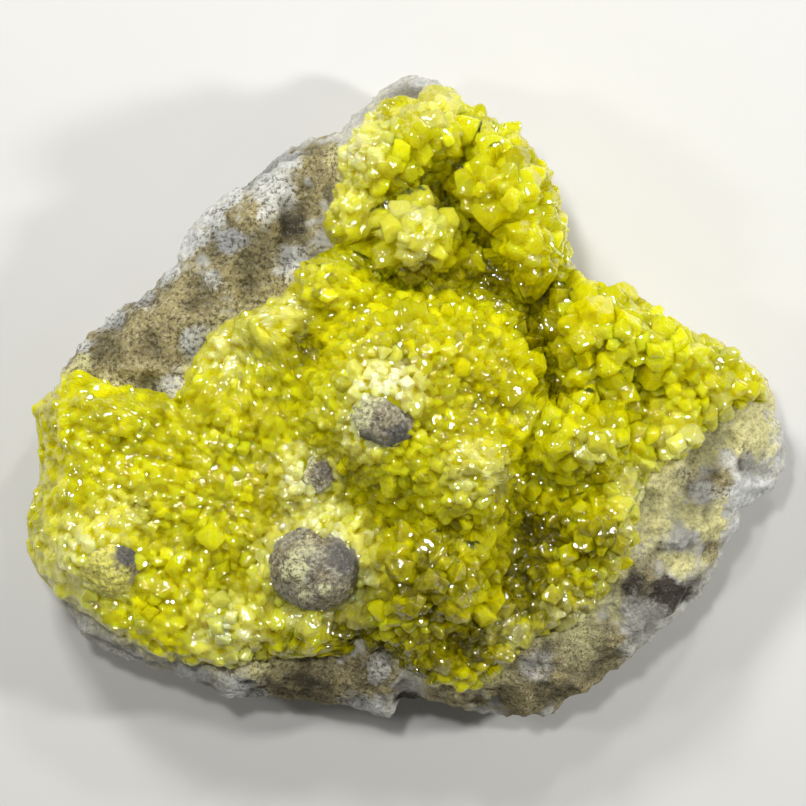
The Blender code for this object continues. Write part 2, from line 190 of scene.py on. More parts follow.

# %% [markdown]
# ## The lie of the land
#
# The rock is a slab whose widest line is given as a list of points. Its top is a low
# dome with named mounds on it. Two mounds flow together through a smooth maximum, the
# logarithm of a sum of exponentials, so that valleys between them stay soft. These are
# the same rules and numbers that the plain solids were made from.

# %% The drawn lines, mm
RIM = [
    (3, 84), (9, 83), (16, 77), (25, 72), (33, 65), (38, 58), (42, 49), (43, 39), (45, 33),
    (52, 29), (63, 26), (70, 20), (82, 15), (88, 11), (95, 5), (98, -3), (101, -14),
    (98, -24), (90, -29), (84, -41), (78, -52), (67, -62), (52, -74), (39, -83), (25, -83),
    (12, -81), (4, -79), (0, -80), (-4, -84), (-15, -82), (-33, -79), (-52, -77),
    (-61, -71), (-70, -69), (-82, -63), (-88, -55), (-93, -47), (-96, -39), (-96, -30),
    (-93, -21), (-93, -11), (-94, -3), (-90, 3), (-90, 8), (-84, 14), (-76, 22),
    (-66, 29), (-60, 36), (-57, 43), (-50, 51), (-41, 58), (-33, 65), (-16, 70),
    (-9, 77), (-3, 82),
]  # fmt: skip
CRUST_OUTLINE = [
    (-6, 77), (5, 77), (14, 79), (20, 76), (29, 75), (34, 65), (39, 58), (41, 50), (44, 42),
    (46, 35), (52, 29), (64, 27), (75, 19), (88, 15), (97, 7), (99, -1), (89, -1),
    (82, -4), (77, -9), (72, -15), (64, -18), (60, -21), (59, -28), (58, -36), (56, -43),
    (53, -49), (48, -54), (40, -59), (33, -62), (27, -67), (21, -73), (15, -75), (8, -73),
    (2, -69), (-3, -64), (-10, -60), (-17, -64), (-27, -67), (-36, -67), (-43, -69),
    (-53, -69), (-63, -67), (-73, -62), (-82, -56), (-90, -52), (-96, -46), (-99, -43),
    (-99, -37), (-101, -31), (-97, -24), (-96, -17), (-98, -8), (-98, -1), (-90, 2),
    (-89, 6), (-84, 6), (-72, 3), (-63, 1), (-57, -1), (-56, 4), (-53, 10), (-49, 16),
    (-42, 21), (-33, 25), (-27, 30), (-25, 34), (-20, 36), (-17, 41), (-18, 48),
    (-15, 56), (-16, 64), (-12, 68), (-9, 72),
]  # fmt: skip

# %% The mounds, mm: x, y, half-width, half-depth, height of the top
MOUNDS = {
    "crown_left": (-5, 61, 12, 11, 50),
    "crown_middle": (7, 68, 12, 10, 48),
    "crown_right": (27, 63, 11, 10, 46),
    "brow": (27, 53, 13, 8, 52),
    "crown_low_left": (3, 41, 11, 10, 53),
    "crown_low_right": (32, 40, 9, 10, 50),
    "crown_flank": (-12, 47, 9, 12, 44),
    "ridge_high": (-16, 29, 14, 9, 47),
    "ridge_middle": (-34, 17, 14, 9, 43),
    "ridge_low": (-50, 3, 8, 10, 40),
    "left_shoulder": (-88, -6, 9, 9, 36),
    "left_block": (-72, -5, 15, 9, 40),
    "left_middle": (-84, -24, 11, 10, 36),
    "left_mound": (-76, -42, 15, 14, 42),
    "left_low": (-63, -56, 14, 10, 35),
    "apron": (-42, -58, 13, 10, 39),
    "apron_right": (-25, -57, 11, 9, 40),
    "middle": (3, 0, 27, 25, 58),
    "middle_low": (17, -18, 14, 15, 59),
    "ring": (-21, -41, 15, 13, 49),
    "saddle": (-27, -20, 10, 11, 43),
    "skirt": (8, -44, 17, 18, 49),
    "skirt_low": (3, -61, 12, 8, 36),
    "right_inner": (50, 14, 14, 13, 48),
    "right_upper": (66, 13, 12, 10, 45),
    "right_middle": (44, -11, 13, 11, 51),
    "right_outer": (75, 3, 12, 10, 41),
    "right_tip": (89, 3, 8, 8, 36),
    "right_low": (52, -31, 11, 12, 45),
    "right_neck": (29, -4, 10, 14, 46),
    "foot": (41, -51, 11, 9, 37),
    "foot_low": (20, -64, 10, 7, 32),
    "bare_hood": (-40, 40, 20, 17, 40),
    "bare_shelf": (-70, 14, 18, 12, 35),
    "bare_right": (76, -28, 30, 23, 37),
    "bare_foot": (38, -70, 22, 12, 30),
}
# Valleys between them, mm: from, to, half-width, depth
VALLEYS = [
    ((-6, 31), (36, 26), 4.0, 4.5), ((18, 31), (33, 20), 5.0, 5.0),
    ((7, 64), (9, 53), 2.5, 3.5), ((9, 53), (25, 36), 3.5, 4.5),
    ((33, 26), (40, 1), 4.5, 5.0), ((27, -20), (33, -52), 4.5, 5.0),
    ((12, -60), (12, -66), 3.5, 4.0), ((-26, 18), (-20, 10), 4.0, 3.0),
    ((-19, -10), (-6, -25), 3.5, 3.5), ((-36, -12), (-30, -36), 5.0, 2.0),
    ((-70, -14), (-50, -18), 5.0, 1.5), ((60, -2), (62, 6), 3.5, 3.5),
    ((-20, -58), (-2, -66), 3.0, 3.5), ((12, 7), (20, 0), 3.0, 3.0),
]  # fmt: skip
MOUND_DROP = 14.0  # how far a mound's side drops at its half-width, mm
MOUND_POWER = 2.6  # how suddenly it drops
BLEND = 1.3  # softness of the valleys where mounds meet, mm
RIM_Z = 17.0  # height of the slab's widest line, mm
RIM_WAVE = 5.0  # how much it rises and falls, mm
SHOULDER_Z = 33.0  # height of the low dome at that line, mm
CROWN_Z = 40.0  # height of the low dome in the middle, mm
UNDERCUT = 0.86  # the floor's radius, as a share of the widest
CRUST = 4.5  # thickness of the sulfur bed, mm
CRUST_EDGE = 5.0  # how far from its border it reaches that, mm


# %% The slab's top as a height over x and y
def rim_radius(angle):
    """Distance from the middle to the widest line, read between its points by angle."""
    outline = np.array(RIM, float)
    turns = np.arctan2(outline[:, 1], outline[:, 0])
    lengths = np.hypot(outline[:, 0], outline[:, 1])
    return np.interp(angle, turns, lengths, period=2 * np.pi)


def rim_height(angle):
    """The widest line rises and falls with the double and fivefold angle."""
    return RIM_Z + RIM_WAVE * (0.6 * np.sin(2 * angle + 0.6) + 0.4 * np.sin(5 * angle))


def mounds(x, y):
    """A low dome and the mounds on it, joined by a smooth maximum."""
    share = np.hypot(x, y) / rim_radius(np.arctan2(y, x))
    total = np.exp((CROWN_Z - (CROWN_Z - SHOULDER_Z) * share**2) / BLEND)
    for cx, cy, half_x, half_y, top in MOUNDS.values():
        out = np.hypot((x - cx) / half_x, (y - cy) / half_y)
        total += np.exp((top - MOUND_DROP * out**MOUND_POWER) / BLEND)
    return BLEND * np.log(total)


def valleys(x, y):
    """Depth of the deepest valley at each place: a bell across the line of each."""
    deepest = np.zeros(len(x))
    for (ax, ay), (bx, by), half, depth in VALLEYS:
        ex, ey = bx - ax, by - ay
        along = np.clip(((x - ax) * ex + (y - ay) * ey) / (ex * ex + ey * ey), 0, 1)
        away = np.hypot(x - ax - along * ex, y - ay - along * ey)
        deepest = np.maximum(deepest, depth * np.exp(-((away / half) ** 2)))
    return deepest


def rock_top(x, y):
    """The mounds less the valleys, with two swells of noise, pulled down to the widest
    line by the factor (1 - share to the 16th) to the 0.6th, where share is how far out
    the place is."""
    angle = np.arctan2(y, x)
    share = np.clip(np.hypot(x, y) / rim_radius(angle), 0, 1)
    flat = np.stack([x, y, 0 * x], 1)
    rough = waves(flat, 21, 3) * 1.8 + waves(flat, 7, 4) * 1.4
    low = rim_height(angle)
    high = mounds(x, y) - valleys(x, y) + rough
    return low + (high - low) * (1 - share**16) ** 0.6


def inside(x, y, outline):
    """Distance to an outline, positive inside it and negative outside, by the nearest
    point of each of its edges and by counting the edges that a ray to the right meets."""
    start = np.array(outline, float)
    edge = np.roll(start, -1, axis=0) - start
    distance = np.full(len(x), np.inf)
    odd = np.zeros(len(x), bool)
    for (sx, sy), (ex, ey) in zip(start, edge):
        along = np.clip(((x - sx) * ex + (y - sy) * ey) / (ex * ex + ey * ey), 0, 1)
        distance = np.minimum(distance, np.hypot(x - sx - along * ex, y - sy - along * ey))
        spans = (sy > y) != (sy + ey > y)
        rise = ey if ey else 1.0
        odd ^= spans & (sx + (y - sy) / rise * ex > x)
    return np.where(odd, distance, -distance)


def crust_inside(x, y):
    """Distance to the edge of the crust, positive inside it. The crust ends at its
    outline, and near the widest line: 2 % short of it on the right, past it on the left."""
    share = 1 - 0.02 * np.clip(x / 60, -1, 1)
    beside = share * rim_radius(np.arctan2(y, x)) - np.hypot(x, y)
    return np.minimum(inside(x, y, CRUST_OUTLINE), beside)


def bed_rise(x, y):
    """How far the sulfur bed stands above the rock: its full thickness inside the crust's
    outline, ramping down to 2.5 mm under the rock outside it."""
    share = np.clip(inside(x, y, CRUST_OUTLINE) / CRUST_EDGE + 0.35, 0, 1)
    return (CRUST + 2.5) * share * share * (3 - 2 * share) - 2.5


print("height in the middle", rock_top(np.zeros(1), np.zeros(1)).round(1), "mm")

# %% [markdown]
# ## A closed slab from a grid
#
# The rock is a closed slab of one grid: its columns run round the slab and its rows run
# from the middle of the top out to the widest line, down the side and across the floor.
# The two ends of the grid close in a single point each. So the rows can lie closer
# where the slab turns down, which a plain square grid couldn't do.


# %% Slab grid
def slab_rows(inner, shoulder, side):
    """Rows of the grid as (share of the radius on top, how far down the side, share of
    the radius on the floor). On top the rows lie closer further out, by a power of 0.6.
    Near the widest line they are spaced by height, which undoes the factor in rock_top."""
    middle = 0.93 * np.linspace(0, 1, inner + 1)[1:] ** 0.6
    fall = np.linspace((1 - 0.93**16) ** 0.6, 0, shoulder + 1)[1:]
    edge = (1 - fall ** (1 / 0.6)) ** (1 / 16)
    top = np.concatenate([middle, edge])
    down = np.linspace(0, 1, side + 1)[1:]
    floor_share = np.linspace(1, 0, 6)[1:-1]
    share = np.concatenate([top, np.ones(side), floor_share])
    below = np.concatenate([np.zeros(len(top)), down, np.ones(len(floor_share))])
    return share, below


def slab_points(share, below, angle, top, rim, floor_z):
    """Place of each grid point: x and y along the angle by the rim's radius, pulled in
    under the widest line, and z from the top's height or down the side to the floor."""
    share, angle = np.meshgrid(share, angle, indexing="ij")
    below = np.repeat(below[:, None], angle.shape[1], axis=1)
    share, angle, below = share.ravel(), angle.ravel(), below.ravel()
    base = UNDERCUT + 0.04 * np.sin(3 * angle)
    radius = rim(angle) * share * (1 - (1 - base) * below**1.5)
    x, y = radius * np.cos(angle), radius * np.sin(angle)
    upper = below == 0
    edge_z = top(rim(angle) * np.cos(angle), rim(angle) * np.sin(angle))
    z = np.where(upper, 0, edge_z + (floor_z - edge_z) * below)
    z[upper] = top(x[upper], y[upper])
    return np.stack([x, y, z], 1), below


def capped_grid(rows, columns):
    """Triangles of a grid that wraps round, with a fan to the point before it and a fan
    to the point after it."""
    row, column = np.meshgrid(np.arange(rows - 1), np.arange(columns), indexing="ij")
    after = (column + 1) % columns
    a, b = row * columns + column, row * columns + after
    c, d = a + columns, b + columns
    quads = np.stack([a, c, d, a, d, b], -1).reshape(-1, 3) + 1
    ring = np.arange(columns)
    start = np.stack([0 * ring, ring + 1, (ring + 1) % columns + 1], 1)
    last = (rows - 1) * columns + 1
    close = np.stack([0 * ring + rows * columns + 1, (ring + 1) % columns + last, ring + last], 1)
    return np.concatenate([start, quads, close])


def grid_normals(points, faces):
    """Direction of the surface at each point: the sum of its triangles' cross products."""
    corner = points[faces]
    cross = np.cross(corner[:, 1] - corner[:, 0], corner[:, 2] - corner[:, 0])
    normal = np.zeros_like(points)
    for k in range(3):
        for axis in range(3):
            normal[:, axis] += np.bincount(faces[:, k], cross[:, axis], len(points))
    return normal / np.maximum(np.linalg.norm(normal, axis=1, keepdims=True), 1e-9)


# %% Arrays to a Blender object
def make_object(name, points, faces, values=None, smooth=True):
    """Writes points in mm and triangles to a new object, with one number a point for
    each named attribute that its material reads. Smooth is one value, or one a face."""
    mesh = bpy.data.meshes.new(name)
    mesh.vertices.add(len(points))
    mesh.vertices.foreach_set("co", (points * MM).astype(np.float32).ravel())
    mesh.loops.add(faces.size)
    mesh.loops.foreach_set("vertex_index", faces.astype(np.int32).ravel())
    mesh.polygons.add(len(faces))
    mesh.polygons.foreach_set("loop_start", np.arange(0, faces.size, 3, dtype=np.int32))
    mesh.update(calc_edges=True)
    for label, value in (values or {}).items():
        layer = mesh.attributes.new(label, "FLOAT", "POINT")
        layer.data.foreach_set("value", value.astype(np.float32))
    mesh.polygons.foreach_set("use_smooth", np.broadcast_to(smooth, len(faces)))
    made = bpy.data.objects.new(name, mesh)
    bpy.context.scene.collection.objects.link(made)
    print(name, len(points), "points,", len(faces), "triangles")
    return made


def dress(piece, material, node):
    """Gives a piece its material, hangs it under the root and hides the plain solid it stands for.
    """
    piece.data.materials.append(material)
    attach(piece, "root")
    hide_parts(node)


# %% [markdown]
# ## The rock
#
# The rock is a porous sulfur-bearing limestone. Its upper left is a sandy brown face in
# two plates with a pale vein between them. Its outer edge and its right side are chalky
# white to cream, with grey nodules and dark stains. We make the slab finely, then push
# its points in and out along their normals, by crags, chips and grains. Its colours
# could be painted on an image, but listed patches with ragged borders are enough.

# %% Patches of colour on the rock, mm: x, y, reach, strength
PATCHES = {
    "brown": [
        (-37, 38, 20, 1.3), (-21, 60, 7, 1.2), (-27, 50, 9, 1.1), (-66, 14, 18, 1.3),
        (-56, 22, 11, 1.2), (-77, 7, 12, 1.2), (-27, -73, 17, 1.2), (-11, -73, 10, 1.1),
        (31, -74, 13, 1.2), (49, -70, 13, 1.1), (3, 81, 5, 0.4), (88, -14, 3, 0.7),
        (82, -22, 5, 0.8), (74, -21, 5, 0.7), (81, -40, 3.5, 0.8), (63, -47, 9, 0.6),
        (-60, -70, 8, 0.3), (12, -77, 8, 0.7), (60, -42, 4, 0.5), (40, -70, 9, 1.1),
        (54, -64, 6, 0.9),
    ],
    "pale": [
        (-44, 41, 4.5, 0.9), (-28, 34, 4.5, 0.8), (-60, 3, 4.5, 0.9), (-53, 15, 4.5, 0.8),
        (-55, -72, 5, 0.9), (-42, -77, 6, 0.8), (-9, -82, 6, 0.8), (35, -69, 6, 0.5),
        (92, -25, 7, 1.0), (95, -6, 5, 1.0), (97, -14, 5, 1.0), (90, -34, 4, 0.9),
        (5, 85, 5, 0.9), (67, -18, 5, 0.7), (80, -8, 5, 0.6), (64, -36, 4, 0.5),
        (-34, 54, 7, 0.7), (-68, 26, 4, 0.5), (70, -18, 6, 0.5), (-49, 31, 3, 0.5),
        (60, -66, 4, 0.5), (-54, 42, 4, 0.9), (-45, 53, 4.5, 0.9), (-62, 34, 4, 0.9),
        (-75, 22, 4, 0.9), (-84, 14, 3, 0.7), (-38, 60, 5, 1.0), (-50, 48, 5, 1.0),
        (-30, 63, 4, 0.8), (-57, 40, 4, 0.9), (-68, 28, 3.5, 0.9),
    ],
    "dust": [
        (91, -9, 9, 0.9), (66, -22, 8, 1.0), (75, -11, 9, 0.8), (72, -43, 6, 0.8),
        (78, -31, 6, 1.0), (-84, 9, 2.8, 0.9), (46, -62, 8, 0.6), (64, -33, 7, 0.7),
        (24, -68, 6, 0.6), (4, -66, 5, 0.6), (-38, -69, 6, 0.5), (57, -55, 5, 0.6),
        (-17, 63, 3, 0.5),
    ],
    # The weak, wide patches along the lower edge make the rock darker towards the bottom.
    "stain_and_shade": [
        (68, -50, 6.5, 1.0), (76, -24, 3.5, 0.6), (88, -17, 2.5, 0.6), (67, -38, 2, 0.5),
        (60, -48, 4, 0.7), (76, -50, 5, 0.5), (-27, 45, 4.5, 0.6), (1, -79, 3.5, 0.9),
        (78, -24, 3, 0.4), (-21, 36, 3, 0.4), (60, -60, 4, 0.4), (-47, 33, 3, 0.3),
        (-18, 52, 3, 0.5), (33, -71, 9, 0.35), (48, -68, 8, 0.3), (-24, -70, 10, 0.3),
        (-12, -70, 8, 0.3), (40, -67, 9, 0.4), (52, -62, 6, 0.4),
    ],
    "nodule": [
        (72, -37, 3.8, 0.9), (90, -16, 2.4, 0.6), (62, -57, 5.5, 0.9), (78, -24, 4, 0.7),
        (-7, -70, 3.8, 0.9), (-20, 41, 3.5, 0.6), (66, -45, 2.5, 0.4),
    ],
}  # fmt: skip


def patch(kind, points):
    """Strength of one kind of colour at each point: the strongest of its patches, each a
    bell that a swell of noise makes ragged."""
    # Below the top the patches wander off, so that they don't run down the side as bars.
    wander = 11 * np.clip(1 - points[:, 2] / 26, 0, 1)
    x = points[:, 0] + wander * 2 * waves(points, 9, 43)
    y = points[:, 1] + wander * 2 * waves(points, 9, 44)
    ragged = 1 + 0.45 * waves(points, 5, 41) + 0.3 * waves(points, 2, 42)
    strength = np.zeros(len(points))
    for cx, cy, reach, most in PATCHES[kind]:
        near = np.hypot(x - cx, y - cy) / (reach * ragged)
        strength = np.maximum(strength, most * np.clip(1.6 - 1.2 * near, 0, 1))
    return strength


# %% Rock mesh
ROCK_ROWS = (80, 16, 14)  # on the flat of the top, round the shoulder, down the side
ROCK_COLUMNS = 700

rock_share, rock_below = slab_rows(*ROCK_ROWS)
rock_angle = np.linspace(0, 2 * np.pi, ROCK_COLUMNS, endpoint=False)
ring_points, below = slab_points(rock_share, rock_below, rock_angle, rock_top, rim_radius, 0.0)
middle_top = np.array([[0, 0, rock_top(np.zeros(1), np.zeros(1))[0]]])
points = np.concatenate([middle_top, ring_points, [[0, 0, 0]]])
below = np.concatenate([[0], below, [1]])
faces = capped_grid(len(rock_share), ROCK_COLUMNS)
normal = grid_normals(points, faces)

# The crags fade out on the floor, which stays flat.
free = np.where(below >= 1, 0, 1)
crust_over = inside(points[:, 0], points[:, 1], CRUST_OUTLINE) > 4
crag = 0.5 - 2 * np.abs(waves(points, 13, 5))
chips = 0.5 - 2 * np.abs(waves(points, 5, 6))
coarse = 0.6 - grains(points, 3.2, 7)
fine = 0.6 - grains(points, 1.6, 8)
push = 1.5 * crag + 0.9 * chips + 1.0 * coarse + 0.8 * fine
push = push + 1.2 * patch("nodule", points)
points = points + normal * (push * free * np.where(crust_over, 0.2, 1))[:, None]
# Under the crust the rock is lower, so that it doesn't show in the valleys of the crust.
under = np.clip(inside(points[:, 0], points[:, 1], CRUST_OUTLINE) / 6 - 0.4, 0, 1)
points[:, 2] -= np.where(below == 0, 7 * under, 0)
points[:, 2] = np.maximum(points[:, 2], 0)
# Painted shade: where the crags push the surface in, the colour is darkened, as shade falls there.
painted_crevice_shade = np.clip(0.5 - 0.22 * push, 0, 1)
rock_values = {kind: patch(kind, points) for kind in PATCHES}
# Sulfur dust lies on the rock along the border of the crust, most of all on the right.
border = np.clip(1 + inside(points[:, 0], points[:, 1], CRUST_OUTLINE) / 6, 0, 1)
border = border * np.where(points[:, 0] > 35, 0.9, 0.4)
rock_values["dust"] = np.maximum(rock_values["dust"], border)
rock_values["painted_crevice_shade"] = painted_crevice_shade
rock = make_object("matrix_rock", points, faces, rock_values)

# %% [markdown]
# ### What the rock is made of
#
# Porous limestone is a crumbly, matt stone: IOR about 1.5, roughness near 0.9, no
# metal. Its colour is what tells it apart: chalk white where it is freshly broken, sandy
# brown where it weathered, yellowish where sulfur dust lies on it, each with grains of
# about a millimetre. Every mesh says where each colour is, and one material mixes them.
# Every mesh also says where its crevices are, and the material paints shade into them.


# %% Stone material
def grain_noise(tree, place, size, detail=3.0):
    """Noise whose swells are as wide as the size, in mm."""
    inputs = {"Vector": place, "Scale": 1 / (size * MM), "Detail": detail, "Roughness": 0.7}
    return add(tree, "ShaderNodeTexNoise", {}, inputs).outputs["Fac"]


def math(tree, operation, *values):
    """One step of arithmetic on sockets or numbers."""
    inputs = dict(enumerate(values))
    return add(tree, "ShaderNodeMath", {"operation": operation}, inputs).outputs[0]


def stepped(tree, value, low, high, least=0.0, most=1.0):
    """A soft step from the least to the most as the value goes from low to high."""
    inputs = {"Value": value, "From Min": low, "From Max": high, "To Min": least, "To Max": most}
    settings = {"interpolation_type": "SMOOTHSTEP"}
    return add(tree, "ShaderNodeMapRange", settings, inputs).outputs[0]


def mixed(tree, share, first, second):
    """A blend of two colours."""
    inputs = {"Factor": share, 6: first, 7: second}
    return add(tree, "ShaderNodeMix", {"data_type": "RGBA"}, inputs).outputs[2]


def stone(name, colours, grainy):
    """A granular stone. The attributes say where each colour is, noise of the size of
    the grains breaks up every border, and salt and pepper grains lie over it all: fully
    where it is brown, and elsewhere by the share that grainy gives. Its crevices get
    painted shade, which darkens them to 0.45 of their colour."""
    made = bpy.data.materials.new(name)
    made.use_nodes = True
    tree = made.node_tree
    shader = tree.nodes["Principled BSDF"]
    place = add(tree, "ShaderNodeTexCoord").outputs["Object"]
    speck, blotch = grain_noise(tree, place, 1.1), grain_noise(tree, place, 5)
    uneven = math(tree, "MULTIPLY_ADD", speck, 0.9, math(tree, "MULTIPLY_ADD", blotch, 0.9, -0.9))
    colour, shares = linear(colours["base"]), {}
    for label in ("brown", "pale", "dust", "stain_and_shade", "nodule"):
        where = add(tree, "ShaderNodeAttribute", {"attribute_name": label}).outputs["Fac"]
        share = stepped(tree, math(tree, "ADD", where, uneven), 0.1, 0.75)
        shares[label] = math(tree, "MULTIPLY", share, math(tree, "LESS_THAN", 0.02, where))
        colour = mixed(tree, shares[label], colour, linear(colours[label]))
    # Grains: many light and dark ones where the stone is brown, some in the dust.
    bare = math(tree, "MULTIPLY_ADD", shares["stain_and_shade"], -0.6, 1)
    dusty = math(tree, "MULTIPLY", shares["dust"], 0.3)
    grained = stepped(tree, math(tree, "MAXIMUM", shares["brown"], dusty), 0, 1, grainy, 1)
    many = math(tree, "MULTIPLY", grained, bare)
    salt = stepped(tree, grain_noise(tree, place, 0.8, 1.0), 0.54, 0.62, 0, 0.45)
    colour = mixed(tree, math(tree, "MULTIPLY", salt, many), colour, linear(colours["salt"]))
    pepper = stepped(tree, grain_noise(tree, place, 1.1, 3.0), 0.5, 0.38, 0, 0.7)
    colour = mixed(tree, math(tree, "MULTIPLY", pepper, many), colour, linear(colours["pepper"]))
    # Painted shade: the colour is darkened in the crevices, down to 0.45 of itself.
    shaded_crevice = add(tree, "ShaderNodeAttribute", {"attribute_name": "painted_crevice_shade"}).outputs["Fac"]
    painted_shade = stepped(tree, shaded_crevice, 0.3, 0.95, 1.0, 0.45)
    light = math(tree, "MULTIPLY", painted_shade, stepped(tree, speck, 0.3, 0.7, 0.8, 1.12))
    tinted = add(tree, "ShaderNodeVectorMath", {"operation": "SCALE"}, {0: colour, "Scale": light})
    tree.links.new(tinted.outputs[0], shader.inputs["Base Color"])
    height = grain_noise(tree, place, 1.3, 6.0)
    bump = add(tree, "ShaderNodeBump", {}, {"Strength": 1.0, "Distance": 0.0013, "Height": height})
    tree.links.new(bump.outputs["Normal"], shader.inputs["Normal"])
    shader.inputs["Roughness"].default_value = 0.9
    shader.inputs["IOR"].default_value = 1.5
    return made


LIMESTONE = {
    "base": "#E6E4D8", "brown": "#B6A874", "pale": "#F4F4EE", "dust": "#FCF4AC",
    "stain_and_shade": "#4A4238", "nodule": "#B8B6AC", "salt": "#E8E2C4", "pepper": "#5C4E30",
}  # fmt: skip
limestone = stone("porous_limestone", LIMESTONE, 0.2)
dress(rock, limestone, "rock_matrix")

# %% [markdown]
# ## The bare knobs
#
# Four round knobs of the rock stand up through the sulfur. Each is a ball whose radius
# is changed by the same grains as the rock, and each has its own pale patch, where a
# fine dust of sulfur clings to it.

# %% Knobs, mm
KNOBS = {
    # name: (x, y), height of the middle, half-sizes
    "ring_knob": ((-21.5, -43), 45, (11.5, 11.0, 13.0)),
    "middle_knob": ((-4.5, -5), 56, (8.5, 7.5, 10.0)),
    "left_knob": ((-75, -43), 36, (8.5, 8.5, 12.0)),
    "small_knob": ((-22, -19), 43, (5.5, 5.5, 7.0)),
}
# Patches on them, in mm from the knob's middle: x, y, reach, strength
BLOTCHES = {
    "ring_knob": {
        "dust": [(-4.8, 0, 3.4, 1.0), (2, -5, 1.5, 1.0), (-3.5, -5.5, 3, 0.5), (-2, 6, 3, 0.4)],
        "stain_and_shade": [(5.5, 2.5, 4.5, 0.7), (9, -1, 3, 0.4)],
        "brown": [(-9, 0, 5, 0.9), (0, 9, 5, 0.8), (2, -3, 4, 0.6), (5, -7, 5, 0.6)],
    },
    "middle_knob": {
        "dust": [(-5, 6, 5, 1.2), (-7, 0, 3, 0.8)],
        # Painted shade: the dark blotches on the middle knob's lower side stand for its shaded
        # side.
        "stain_and_shade": [(4, -5, 4, 0.7), (-4, -6, 3, 0.5)],
        "brown": [(0, 0, 6, 0.5)],
    },
    "left_knob": {
        "dust": [(-3, -1, 8, 1.5), (0, -6, 6, 1.2), (0, 5, 4, 0.6)],
        "stain_and_shade": [(5.5, 3.5, 3.5, 0.9)],
        "brown": [(5, 1, 5, 0.6)],
    },
    "small_knob": {
        "dust": [(-4, 3, 4, 1.0), (-3, -3, 3, 0.8)],
        "stain_and_shade": [(2, 0, 3, 0.5)],
        "brown": [(0, 0, 6, 0.7)],
    },
}
KNOB_ROWS, KNOB_COLUMNS = 64, 96


def knob(name, place, middle, sizes):
    """A ball in latitude and longitude, scaled to its half-sizes, with its radius
    changed by swells and grains."""
    down = np.linspace(0, np.pi, KNOB_ROWS + 2)[1:-1]
    angle = np.linspace(0, 2 * np.pi, KNOB_COLUMNS, endpoint=False)
    down, angle = [part.ravel() for part in np.meshgrid(down, angle, indexing="ij")]
    ball = np.stack([np.sin(down) * np.cos(angle), np.sin(down) * np.sin(angle), np.cos(down)], 1)
    ball = np.concatenate([[[0, 0, 1]], ball, [[0, 0, -1]]])
    on_it = ball * sizes + (*place, middle)
    swell = 0.8 * waves(on_it, 8, 21) + 0.6 * waves(on_it, 4, 26)
    grain = 0.7 * (0.6 - grains(on_it, 1.8, 22)) + 0.5 * (0.6 - grains(on_it, 0.9, 23))
    points = on_it + ball * (swell + grain)[:, None]
    ragged = 1 + 0.5 * waves(on_it, 3, 24) + 0.3 * waves(on_it, 1.3, 25)
    # Painted shade: between the grains the knob's colour is darkened.
    values = {"painted_crevice_shade": np.clip(0.5 - 0.7 * grain, 0, 1)}
    for kind in PATCHES:
        strength = np.zeros(len(points))
        for x, y, reach, most in BLOTCHES[name].get(kind, []):
            away = np.hypot(points[:, 0] - place[0] - x, points[:, 1] - place[1] - y)
            bell = np.clip(1.7 - 1.2 * away / (reach * ragged), 0, 1)
            strength = np.maximum(strength, np.minimum(most * bell, 1))
        values[kind] = strength
    return make_object(name, points, capped_grid(KNOB_ROWS, KNOB_COLUMNS), values)


KNOB_STONE = {
    "base": "#B8B296", "brown": "#A89A76", "pale": "#D6D2BC", "dust": "#F2EEB4",
    "stain_and_shade": "#6E6A66", "nodule": "#98968F", "salt": "#F0EEDC", "pepper": "#46413A",
}  # fmt: skip
knob_stone = stone("knob_limestone", KNOB_STONE, 0.8)
dusted_stone = stone("sulfur_dusted_limestone", {**KNOB_STONE, "dust": "#F8F070"}, 0.25)
for name, (place, middle, sizes) in KNOBS.items():
    made_of = dusted_stone if name == "left_knob" else knob_stone
    dress(knob(name, place, middle, sizes), made_of, "rock_matrix")

# %% [markdown]
# ## The sulfur bed
#
# Under the crystals lies a bed of massive sulfur that follows the rock. It is only the
# ground that the crystals stand on, so it is a height over x and y and no mesh of its
# own. Crystals grow in clumps, coarse ones in high clumps and fine ones in low ones, and
# a table of zones says how wide they usually are in each part of the crust.


# %% Zones of the crust, mm: x, y, reach, usual width of the crystals there
ZONES = [
    (-60, -12, 28, 2.9), (-80, -18, 20, 2.9), (-60, -48, 20, 2.9), (-77, -42, 13, 2.3),
    (-45, 12, 12, 2.5), (-25, 28, 12, 2.7), (-12, 62, 9, 2.9), (8, 64, 15, 4.8),
    (3, 41, 10, 3.8), (28, 52, 14, 5.4), (32, 38, 10, 5.0), (12, 24, 10, 3.8),
    (5, 8, 14, 3.2), (18, -18, 13, 3.0), (8, -45, 17, 4.4), (50, 16, 14, 5.6),
    (66, 12, 12, 4.2), (46, -11, 12, 4.6), (76, 3, 10, 4.0), (90, 2, 8, 4.2),
    (52, -32, 12, 4.4), (40, -52, 12, 3.8), (20, -66, 10, 4.0), (-21, -43, 9, 1.7),
    (-21, -56, 7, 3.4), (-4, -4, 8, 1.8), (-24, -20, 8, 2.2), (-42, -58, 12, 2.9),
    (30, -4, 8, 3.8),
]  # fmt: skip
FIRST_WIDTH = 3.2


def usual_width(x, y):
    """Usual width of the crystals: the zones' values, averaged by bells round them."""
    weight, total = np.full(len(x), 0.03), np.full(len(x), 0.03 * FIRST_WIDTH)
    for cx, cy, reach, value in ZONES:
        near = np.exp(-((x - cx) ** 2 + (y - cy) ** 2) / reach**2)
        weight, total = weight + near, total + near * value
    return total / weight


# %% Clumps of crystals
CLUMP = 9.0  # width of a clump of crystals, mm


